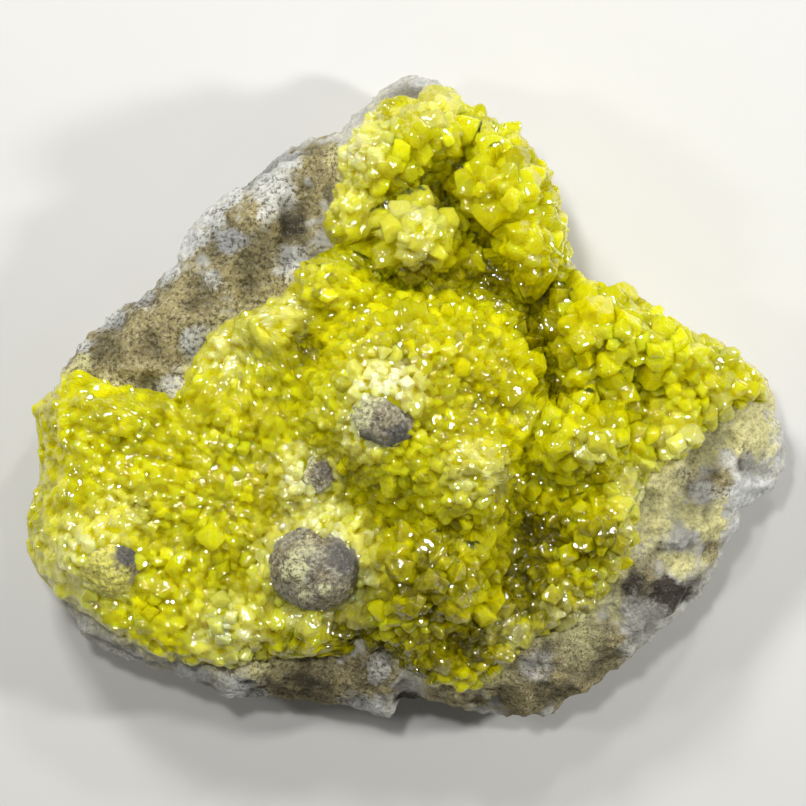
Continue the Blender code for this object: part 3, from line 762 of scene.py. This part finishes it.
def clumps(x, y):
    """Crystals crowd in clumps. Each is the cap of a ball, from 0 between clumps to 1 on
    top, at two sizes: 9 mm, and half of that."""
    flat = np.stack([x, y, 0 * x], 1)
    flat = flat + np.stack([waves(flat, 7, 34), waves(flat, 7, 35), 0 * x], 1) * 1.5
    large = np.sqrt(np.clip(1 - (grains(flat, CLUMP, 31) / 0.85) ** 2, 0, 1))
    small = np.sqrt(np.clip(1 - (grains(flat, CLUMP / 2, 32) / 0.85) ** 2, 0, 1))
    return 0.7 * large + 0.3 * small


# %% Bed surface
def bed_top(x, y):
    """The rock's top and the rise of the bed, with clumps that are higher where the
    crystals are large."""
    within = np.clip(inside(x, y, CRUST_OUTLINE) / 4, 0, 1)
    raised = (clumps(x, y) - 0.55) * np.maximum(2 * usual_width(x, y) - 3.8, 0.5)
    return rock_top(x, y) + bed_rise(x, y) + raised * within


# %% [markdown]
# ## One crystal
#
# Sulfur is orthorhombic, with axes in the ratio 0.813 : 1 : 1.903. Its crystals show a
# steep pyramid (111), a blunter one (113), a flat end (001) and sometimes a sloping roof
# (011). A crystal is whatever lies behind all of these planes, so we find every point
# where three of them meet, keep those behind all the others, and wrap them in a hull.
# Each variant has its planes at slightly different depths, as no crystal grows evenly.

# %% Crystal habit
AXES = np.array([0.813, 1.0, 1.903])
VARIANTS = 16
WORN = 0.1  # width of the worn edge, as a share of the crystal's half-width
FORMS = {
    # indices of the plane: usual depth, how much it may differ, share of the faces grown
    (1, 1, 1): (0.78, 0.06, 1.0),
    (1, 1, 3): (0.86, 0.12, 0.7),
    (0, 0, 1): (0.98, 0.28, 1.0),
    (0, 1, 1): (0.92, 0.14, 0.4),
}


def crystal(random, worn):
    """Corners, triangles, planes and depths of one crystal with a half-width of about 1:
    the corners are the meeting points of three planes that lie behind every other plane."""
    planes, depths = [], []
    for indices, (depth, spread, grown) in FORMS.items():
        usual = depth + spread * random.uniform(-1, 1)
        signs = np.array(list(np.ndindex(2, 2, 2))) * 2 - 1
        every = np.unique(signs * indices, axis=0) / AXES
        every = every[random.uniform(size=len(every)) < grown]
        planes.append(every / np.linalg.norm(every, axis=1, keepdims=True))
        depths.append(usual * random.uniform(0.88, 1.14, len(every)))
    planes, depths = np.concatenate(planes), np.concatenate(depths)
    trio = np.array([(i, j, k) for i in range(len(planes)) for j in range(i) for k in range(j)])
    threes = planes[trio]
    good = np.abs(np.linalg.det(threes)) > 1e-6
    meets = np.linalg.solve(threes[good], depths[trio][good][..., None])[..., 0]
    corners = meets[(meets @ planes.T <= depths + 1e-9).all(axis=1)]
    shape = bmesh.new()
    for corner in corners:
        shape.verts.new(corner)
    bmesh.ops.remove_doubles(shape, verts=shape.verts, dist=0.05)
    bmesh.ops.convex_hull(shape, input=shape.verts)
    bmesh.ops.dissolve_limit(shape, angle_limit=0.03, verts=shape.verts, edges=shape.edges)
    if worn:
        bmesh.ops.bevel(
            shape, geom=shape.edges, offset=WORN, segments=1, affect="EDGES", clamp_overlap=True
        )
    bmesh.ops.triangulate(shape, faces=shape.faces)
    bmesh.ops.recalc_face_normals(shape, faces=shape.faces)
    shape.verts.index_update()
    points = np.array([vertex.co for vertex in shape.verts])
    faces = np.array([[vertex.index for vertex in face.verts] for face in shape.faces])
    shape.free()
    return points, faces, planes, depths


habit_random = np.random.default_rng(11)
habits = [crystal(habit_random, worn=False) for _ in range(VARIANTS)]
habits += [crystal(habit_random, worn=True) for _ in range(VARIANTS)]
print("triangles a crystal:", [len(faces) for _, faces, _, _ in habits])

# %% [markdown]
# ## Where the crystals sit
#
# Crystals crowd each other: each takes about its own width, and small ones fill the
# gaps that large ones leave. So we throw thousands of candidates at the bed, take them
# by chance, and keep each that has room beside those before it. The few crystals that
# stand out are set one by one, and come first.

# %% Large crystals set one by one, mm: x, y, two thirds of the width
LARGE = [
    (49, 21, 5.6), (40, 18, 5.2), (52, 8, 4.6), (57, 18, 4.4), (34, 24, 4.2), (62, 19, 3.6),
    (66, 17, 3.8), (30, 41, 4.6), (28, 60, 4.2), (22, 56, 3.8), (8, 70, 4.6), (0, 62, 4.0),
    (20, 68, 4.4), (27, 48, 4.2), (36, 50, 3.8), (88, 5, 3.4), (83, 9, 3.2), (93, 0, 3.0),
    (49, -11, 4.2), (42, -8, 3.8), (39, -36, 3.8), (52, -33, 4.2), (57, -20, 3.8),
    (7, -47, 4.6), (0, -52, 4.0), (14, -54, 3.8), (23, -28, 3.6), (-11, -50, 3.4),
    (-8, -45, 3.2), (16, -38, 3.6), (10, -62, 3.2), (22, -58, 3.0), (24, 20, 3.4),
    (-58, -8, 2.8), (-90, 2, 3.2), (-66, -58, 3.0), (-31, -57, 3.6), (-24, -58, 3.8),
    (-12, -57, 3.4), (76, 8, 3.6), (12, 78, 3.0), (27, 69, 3.4), (38, -18, 3.6),
    (-46, -52, 3.2), (46, 28, 4.0),
]  # fmt: skip


# %% Slope of the bed
def facing(x, y, step=1.2):
    """Direction of the bed's surface, from its heights a step away on either side."""
    slope_x = (bed_top(x + step, y) - bed_top(x - step, y)) / (2 * step)
    slope_y = (bed_top(x, y + step) - bed_top(x, y - step)) / (2 * step)
    normal = np.stack([-slope_x, -slope_y, np.ones_like(x)], 1)
    return normal / np.linalg.norm(normal, axis=1, keepdims=True)


# %% Strew the crystals
TRIES = 36000
CROWDING = 0.62  # distance kept between two crystals, as a share of their mean width
SPREAD = 0.24  # spread of the widths, as a power of e
ROUND = 500

strew_random = np.random.default_rng(5)
low, high = np.array(CRUST_OUTLINE).min(0), np.array(CRUST_OUTLINE).max(0)
spots = strew_random.uniform(low, high, (TRIES, 2))
widths = usual_width(*spots.T) * np.exp(SPREAD * strew_random.standard_normal(TRIES))
share = np.hypot(*spots.T) / rim_radius(np.arctan2(spots[:, 1], spots[:, 0]))
fits = crust_inside(*spots.T) > widths * np.where(share > 0.9, 0.25, 0.05)
spots, widths = spots[fits], np.clip(widths[fits], 1.2, 9)
large = np.array(LARGE, float)
spots = np.concatenate([large[:, :2], spots])
widths = np.concatenate([1.5 * large[:, 2], widths])
knob_places = np.array([place for place, _, _ in KNOBS.values()])
knob_reach = np.array([0.5 * (sizes[0] + sizes[1]) for _, _, sizes in KNOBS.values()])
clear = (np.hypot(*(spots[:, None] - knob_places).transpose(2, 0, 1)) > knob_reach * 0.75).all(1)
spots, widths = spots[clear], widths[clear]
spots = np.column_stack([spots, bed_top(*spots.T)])

kept, kept_width = np.empty((0, 3)), np.empty(0)
for start in range(0, len(spots), ROUND):
    place, width = spots[start : start + ROUND], widths[start : start + ROUND]
    reach = CROWDING * 0.5 * (width[:, None] + kept_width)
    room = (((place[:, None] - kept) ** 2).sum(2) > reach**2).all(axis=1)
    place, width = place[room], width[room]
    reach = CROWDING * 0.5 * (width[:, None] + width)
    near = ((place[:, None] - place) ** 2).sum(2) < reach**2
    room = ~np.tril(near, -1).any(axis=1)
    kept = np.concatenate([kept, place[room]])
    kept_width = np.concatenate([kept_width, width[room]])
print(len(kept), "crystals, mean width", kept_width.mean().round(2), "mm")

# %% [markdown]
# ### Turning and colouring them
#
# Each crystal leans off the bed's own direction by a random amount, and is turned about
# its own long axis. Its tone, from amber to lemon, its frost and its clearness are one
# number each, the same all over it, which the material reads. The tone also carries
# painted shade: crystals on top of a clump are painted lighter, those in a valley or a
# pit are painted darker, as less light gets down to them.

# %% Pale, frosted places, mm: x, y, reach, strength
FROSTED = [
    (-21, -43, 15, 0.8), (-4, 2, 9, 1.0), (-9, -8, 7, 0.6), (-24, -20, 8, 0.7),
    (-82, -42, 13, 0.5), (-72, -30, 8, 0.3), (-45, 12, 8, 0.45), (-32, 20, 8, 0.4),
    (-12, 64, 9, 0.6), (-14, 52, 7, 0.3), (3, 42, 8, 0.35), (18, -18, 8, 0.35),
    (-44, -60, 10, 0.45), (47, -12, 4, 0.3), (62, -24, 8, 0.4), (42, -56, 8, 0.35),
    (-21, -28, 6, 0.5), (8, 76, 7, 0.4), (30, -60, 7, 0.25), (61, -24, 6, 0.4),
    (59, -34, 5, 0.3), (72, -12, 6, 0.45), (82, -5, 5, 0.4), (54, -48, 5, 0.3),
]  # fmt: skip
# Painted shade: valleys, pits and slopes that face away from the lamps are painted darker
# olive, mm: x, y, reach, strength
DEEP_SHADE = [
    (8, -46, 18, 1.2), (-12, -64, 11, 1.5), (30, -48, 12, 1.2), (42, -54, 12, 1.2),
    (14, 29, 9, 0.8), (34, 28, 9, 0.9), (22, -62, 11, 1.3), (2, -66, 11, 1.4),
    (-22, 14, 6, 0.7), (-13, -18, 7, 0.6), (22, 50, 7, 0.45), (37, 10, 10, 0.8),
    (48, -34, 13, 1.1), (28, -26, 8, 0.8), (62, -5, 8, 0.6), (-36, -60, 5, 0.6),
    (4, 12, 16, 0.5), (46, -12, 10, 0.5), (84, 2, 10, 0.3), (20, 2, 15, 0.6),
    (-2, 10, 13, 0.35), (22, -10, 12, 0.6), (-30, 20, 8, 0.3), (20, -6, 12, 0.4),
    (52, -20, 8, 0.8), (36, -35, 7, 2.0), (29, -44, 6, 2.0), (18, -63, 6, 2.2),
    (38, 0, 5, 1.8), (36, 14, 5, 1.8), (25, 30, 7, 1.6), (10, 52, 5, 1.6),
    (-24, 13, 5, 1.5), (4, 33, 6, 1.4), (-86, -16, 7, 0.4), (-30, -30, 6, 0.4),
]  # fmt: skip
TILT = 0.62  # how far crystals lean off the bed's direction


def spotted(x, y, table):
    """Strength of the strongest spot of a table at each place."""
    strength = np.zeros(len(x))
    for cx, cy, reach, most in table:
        near = np.hypot(x - cx, y - cy) / reach
        strength = np.maximum(strength, most * np.clip(1.5 - 1.2 * near, 0, 1))
    return strength


def upright_frames(axis, spin):
    """For each crystal, three directions at right angles: its own long axis and two
    across it, turned about it by the spin."""
    aside = np.where(np.abs(axis[:, 2:]) < 0.9, [[0, 0, 1.0]], [[1.0, 0, 0]])
    across = np.cross(aside, axis)
    across /= np.linalg.norm(across, axis=1, keepdims=True)
    third = np.cross(axis, across)
    cos, sin = np.cos(spin)[:, None], np.sin(spin)[:, None]
    return np.stack([across * cos + third * sin, third * cos - across * sin, axis], 2)


# %% Turn, size and colour every crystal
FULLNESS = 0.62  # half-width of a crystal, as a share of the width of its place
SINGLE_WIDTH, SINGLE_SHARE = 3.6, 0.18  # how many of the wide crystals stand free, mm
WORN_WIDTH = 2.6  # crystals wider than this have worn edges, mm
USUAL_TONE, TONE_SPREAD = 0.34, 0.14

lean_random = np.random.default_rng(17)
total = len(kept)
up = facing(kept[:, 0], kept[:, 1])
axis = up + TILT * lean_random.standard_normal((total, 3))
axis /= np.linalg.norm(axis, axis=1, keepdims=True)
turns = upright_frames(axis, lean_random.uniform(0, 2 * np.pi, total))
half = FULLNESS * kept_width
squash = lean_random.uniform(0.85, 1.15, (total, 3))
single = (kept_width > SINGLE_WIDTH) & (lean_random.uniform(size=total) < SINGLE_SHARE)
middle = kept + up * (half * lean_random.uniform(-0.35, 0.35, total))[:, None]
variant = lean_random.integers(VARIANTS, size=total) + VARIANTS * (kept_width > WORN_WIDTH)
rounded = (lean_random.uniform(size=total) < 0.5) & (kept_width < 5)
x, y = kept[:, 0], kept[:, 1]
frost = spotted(x, y, FROSTED)
frost = np.clip(frost * lean_random.uniform(0.4, 1.3, total), 0, 1)
# Painted shade and highlight: the tone goes down in the deep places and valleys and up on top of
# the clumps, as the light falls.
deep_shade = spotted(x, y, DEEP_SHADE)
raised = clumps(x, y) - 0.15 * valleys(x, y) - 0.95 * deep_shade
chance = lean_random.normal(0, TONE_SPREAD, total) * np.clip(1 - 0.6 * deep_shade, 0.2, 1)
darkest = np.maximum(0.3 - 0.15 * deep_shade, 0)
tone = np.clip(USUAL_TONE + chance + 0.45 * raised, darkest, 1)
clear_share = np.clip(lean_random.normal(0.5, 0.25, total) + 0.1 * deep_shade, 0, 1) * (1 - frost)
print(single.sum(), "single crystals,", (~single).sum(), "fused ones")

# %% [markdown]
# ### Fused crystals
#
# Most of the crystals have grown into one sugary mass. We make it as a skin: a fine grid
# lies on the bed, and each of its points moves out along its own normal until it leaves
# the last crystal that it passes. A crystal is an intersection of half-spaces, so the
# way out is the nearest of the planes that the ray leaves, and the way in is the
# farthest of those that it enters. The crust is too large for one fine grid, so it is
# laid in six, each round its own centre and with a side that dives into the rock. The
# borders between them follow the valleys.

# %% Planes of every crystal
most = max(len(depths) for _, _, _, depths in habits)
plane_table = np.zeros((len(habits), most, 3))
depth_table = np.full((len(habits), most), 99.0)
for v, (_, _, planes, depths) in enumerate(habits):
    plane_table[v, : len(planes)] = planes
    depth_table[v, : len(depths)] = depths


def way_out(points, normal, mine, tile=9.0):
    """How far each point has to go along its normal to leave the chosen crystals, and
    which crystal it leaves last. Tiles of points are tested against the crystals near."""
    out, owner = np.zeros(len(points)), np.full(len(points), -1)
    spot, size = middle[mine], half[mine] * 1.6
    sides = np.einsum("nij,nkj->nki", turns[mine], plane_table[variant[mine]] / squash[mine, None])
    depth = depth_table[variant[mine]] * half[mine, None] + (sides * spot[:, None]).sum(2)
    cell = np.floor(points[:, :2] / tile).astype(int)
    code = cell[:, 0] * 1000 + cell[:, 1]
    order = np.argsort(code, kind="stable")
    for batch in np.split(order, np.flatnonzero(np.diff(code[order])) + 1):
        low, high = points[batch].min(0), points[batch].max(0)
        near = ((spot > low - size[:, None]) & (spot < high + size[:, None])).all(1)
        if not near.any():
            continue
        toward = np.einsum("pi,cki->pck", normal[batch], sides[near])
        room = depth[near] - np.einsum("pi,cki->pck", points[batch], sides[near])
        with np.errstate(divide="ignore", invalid="ignore"):
            along = room / toward
        leave = np.where(toward > 1e-6, along, 99).min(2)
        enter = np.where(toward < -1e-6, along, -99).max(2)
        leave = np.where((leave > enter) & (leave > 0) & (enter < 4), leave, 0)
        best = leave.argmax(1)
        out[batch] = leave[np.arange(len(batch)), best]
        owner[batch] = np.where(out[batch] > 0, mine[near][best], -1)
    return out, owner


# %% Six fine grids
CENTRES = {
    "crown": (14, 50), "middle": (3, 6), "arm": (66, 6), "foot": (50, -40),
    "skirt": (8, -46), "field": (-46, -26),
}  # fmt: skip
SKIN_ROWS, SIDE_ROWS, BASE_ROWS, SKIN_COLUMNS = 116, 6, 3, 420
OVERLAP = 0.6
SEAM = 4.0  # how far a skin's side shows through it, mm


def region_reach(centre, angle):
    """How far a ray from the centre runs before it leaves the crust's outline or comes
    well past the middle line to another centre."""
    steps = np.linspace(0, 75, 301)
    x = centre[0] + steps[:, None] * np.cos(angle)
    y = centre[1] + steps[:, None] * np.sin(angle)
    own = np.hypot(x - centre[0], y - centre[1])
    fits = crust_inside(x.ravel(), y.ravel()).reshape(x.shape) > -OVERLAP
    for other in CENTRES.values():
        fits &= own < np.hypot(x - other[0], y - other[1]) + 4 * OVERLAP
    return steps[np.argmin(fits, axis=0)]


def median_of_nine(grid):
    """Each value becomes the median of itself and its eight neighbours, which clears
    the saw teeth that steep sides get."""
    padded = np.concatenate([grid[:1], grid, grid[-1:]])
    rows = [padded[k : k + len(grid)] for k in range(3)]
    return np.median([np.roll(row, turn, axis=1) for row in rows for turn in (-1, 0, 1)], axis=0)


def skin(name, centre):
    """One closed grid: rows out to the region's border, down its side and back along a
    flat base, with its top pushed out through the fused crystals."""
    angle = np.linspace(0, 2 * np.pi, SKIN_COLUMNS, endpoint=False)
    reach = region_reach(centre, angle)
    share = np.concatenate(
        [
            np.linspace(0, 1, SKIN_ROWS + 1)[1:],
            np.linspace(1, 0.86, SIDE_ROWS + 1)[1:],
            np.linspace(0.86, 0, BASE_ROWS + 1)[1:-1],
        ]
    )
    fall = np.concatenate(
        [np.zeros(SKIN_ROWS), np.linspace(0, 1, SIDE_ROWS + 1)[1:], np.ones(BASE_ROWS - 1)]
    )
    x = (centre[0] + share[:, None] * reach * np.cos(angle)).ravel()
    y = (centre[1] + share[:, None] * reach * np.sin(angle)).ravel()
    fall = np.repeat(fall, SKIN_COLUMNS)
    edge = np.tile(bed_top(x, y).reshape(len(share), -1)[SKIN_ROWS - 1], len(share))
    z = np.where(fall > 0, edge + (9.0 - edge) * fall, bed_top(x, y))
    ends = np.array([[*centre, bed_top(*np.array([centre], float).T)[0]], [*centre, 9.0]])
    points = np.concatenate([ends[:1], np.stack([x, y, z], 1), ends[1:]])
    faces = capped_grid(len(share), SKIN_COLUMNS)
    # The points move along the slope of the land round about, not of each small dip, so
    # that their paths never cross.
    top = np.flatnonzero(np.concatenate([[0], fall, [1]]) == 0)
    way = facing(points[top, 0], points[top, 1], 4.5) + (0, 0, 0.25)
    way /= np.linalg.norm(way, axis=1, keepdims=True)
    out, owner = way_out(points[top], way, np.flatnonzero(~single))
    out[1:] = median_of_nine(out[1:].reshape(SKIN_ROWS, SKIN_COLUMNS)).ravel()
    points[top] += way * out[:, None]
    values = {"tone": np.full(len(points), 0.4), "frost": np.zeros(len(points))}
    values["tone"][top] = np.where(owner >= 0, tone[owner], 0.4)
    values["frost"][top] = np.where(owner >= 0, frost[owner], 0)
    values["clearness"] = np.full(len(points), 0.5)
    values["clearness"][top] = np.where(owner >= 0, clear_share[owner], 0.5)
    # Light would leak out through the side, so near it the stone is less see-through, and
    # there its colour gets painted shade.
    to_side = np.maximum((1 - share[:, None]) * reach, 0)[:SKIN_ROWS]
    last = (SKIN_ROWS - 1) * SKIN_COLUMNS + np.arange(SKIN_COLUMNS)
    at_rim = crust_inside(x[last], y[last]) < 0.5
    to_side = np.where(at_rim, np.maximum(to_side, 0.6 * SEAM), to_side).ravel()
    values["whole"] = np.zeros(len(points))
    values["whole"][top] = np.concatenate([[1], np.clip(to_side / SEAM, 0, 1)])
    made = make_object("druse_" + name, points, faces, values)
    made.data.set_sharp_from_angle(angle=np.radians(26))
    return made


druse = [skin(name, centre) for name, centre in CENTRES.items()]


# %% Single crystals
def crystal_piece(name, mine):
    """Joins the chosen crystals in one mesh: each variant's corners are scaled, turned
    and moved for all the crystals of that variant at once."""
    points, faces, owner, smooth, count = [], [], [], [], 0
    for v, (corners, triangles, _, _) in enumerate(habits):
        chosen = np.flatnonzero(mine & (variant == v))
        shaped = corners[None] * (half[chosen, None] * squash[chosen])[:, None, :]
        placed = np.einsum("nij,nkj->nki", turns[chosen], shaped) + middle[chosen, None]
        points.append(placed.reshape(-1, 3))
        shift = count + len(corners) * np.arange(len(chosen))
        faces.append((triangles[None] + shift[:, None, None]).reshape(-1, 3))
        owner.append(np.repeat(chosen, len(corners)))
        smooth.append(np.repeat(rounded[chosen], len(triangles)))
        count += len(corners) * len(chosen)
    owner = np.concatenate(owner)
    values = {"tone": tone[owner], "frost": frost[owner], "clearness": clear_share[owner]}
    values["whole"] = np.ones(len(owner))
    smooth = np.concatenate(smooth)
    return make_object(name, np.concatenate(points), np.concatenate(faces), values, smooth)


left = kept[:, 0] < 20
crystals = [
    crystal_piece("crystals_left", single & left),
    crystal_piece("crystals_right", single & ~left),
]

# %% [markdown]
# ## What the sulfur is made of
#
# Sulfur has a very high IOR, near 2, so its faces mirror about a tenth of the light:
# that is its adamantine lustre. The crystals let light in and turn it yellow by
# absorbing all the blue. Most are cloudy inside, so we mix clear transmission with a
# soft scattering body, and let frosted crystals be paler and duller. Clear glass alone
# would show the rock through the crystals, and paint alone would look like gravel.

# %% Sulfur materials
SULFUR_IOR = 2.0
CLOUD = 0.002  # width of the clouds inside the crystals, m
GROWTH_STEP = 0.0009  # width of a growth step on a face, m
LEAN = 0.2  # how far a growth step leans off its face


def sulfur(name, amber, yellow, lemon, frost_white, clearness):
    """Cloudy sulfur: a scattering body that is partly clear, inside a mirroring face."""
    made = bpy.data.materials.new(name)
    made.use_nodes = True
    tree = made.node_tree
    shader = tree.nodes["Principled BSDF"]
    place = add(tree, "ShaderNodeTexCoord").outputs["Object"]
    tone, frost, clear, whole = [
        add(tree, "ShaderNodeAttribute", {"attribute_name": label}).outputs["Fac"]
        for label in ("tone", "frost", "clearness", "whole")
    ]
    # Colour: from amber to lemon by the tone, which carries painted shade, and by the clouds
    # inside, paler where frosted, and with painted shade near a skin's side, which lets less
    # light out than the rest.
    inputs = {"Vector": place, "Scale": 1 / CLOUD, "Detail": 4.0}
    cloud = add(tree, "ShaderNodeTexNoise", {}, inputs).outputs["Fac"]
    cloudy_tone = math(tree, "MULTIPLY_ADD", cloud, 0.6, tone)
    ramp = add(tree, "ShaderNodeValToRGB", {}, {"Fac": math(tree, "SUBTRACT", cloudy_tone, 0.3)})
    ramp.color_ramp.elements[0].color = linear(amber)
    ramp.color_ramp.elements[1].color = linear(lemon)
    ramp.color_ramp.elements.new(0.4).color = linear(yellow)
    paler = mixed(tree, frost, ramp.outputs["Color"], linear(frost_white))
    # Painted shade: towards a skin's side the colour is darkened to 0.72 of itself.
    inputs = {0: paler, "Scale": stepped(tree, whole, 0, 1, 0.72, 1)}
    dimmed = add(tree, "ShaderNodeVectorMath", {"operation": "SCALE"}, inputs)
    tree.links.new(dimmed.outputs[0], shader.inputs["Base Color"])
    through = math(tree, "MULTIPLY", math(tree, "MULTIPLY", clear, clearness), whole)
    tree.links.new(through, shader.inputs["Transmission Weight"])
    tree.links.new(whole, shader.inputs["Subsurface Weight"])
    inputs = {"Value": frost, "To Min": 0.04, "To Max": 0.45}
    rough = add(tree, "ShaderNodeMapRange", {}, inputs)
    tree.links.new(rough.outputs[0], shader.inputs["Roughness"])
    # Growth steps: small cells, each leaning its own way, so that each mirrors its own light.
    steps = add(tree, "ShaderNodeTexVoronoi", {}, {"Vector": place, "Scale": 1 / GROWTH_STEP})
    inputs = {0: steps.outputs["Color"], 1: (2 * LEAN,) * 3, 2: (-LEAN,) * 3}
    lean = add(tree, "ShaderNodeVectorMath", {"operation": "MULTIPLY_ADD"}, inputs)
    inputs = {0: add(tree, "ShaderNodeNewGeometry").outputs["Normal"], 1: lean.outputs[0]}
    leaning = add(tree, "ShaderNodeVectorMath", {"operation": "ADD"}, inputs)
    inputs = {0: leaning.outputs[0]}
    unit = add(tree, "ShaderNodeVectorMath", {"operation": "NORMALIZE"}, inputs)
    tree.links.new(unit.outputs[0], shader.inputs["Normal"])
    shader.inputs["IOR"].default_value = SULFUR_IOR
    shader.inputs["Specular IOR Level"].default_value = 0.45
    shader.inputs["Subsurface Radius"].default_value = (1.0, 0.8, 0.06)
    shader.inputs["Subsurface Scale"].default_value = 0.004
    inputs = {"Color": linear("#FBF244"), "Density": 350.0}
    absorb = add(tree, "ShaderNodeVolumeAbsorption", {}, inputs)
    tree.links.new(absorb.outputs["Volume"], tree.nodes["Material Output"].inputs["Volume"])
    return made


# The first colour, a dark olive amber, is the darkest tone, which painted shade reaches in valleys
# and pits.
crystal_sulfur = sulfur("orthorhombic_sulfur", "#766E00", "#E2DA04", "#F6F21C", "#F6F6C4", 0.5)
for piece in crystals + druse:
    dress(piece, crystal_sulfur, "sulfur_crust")
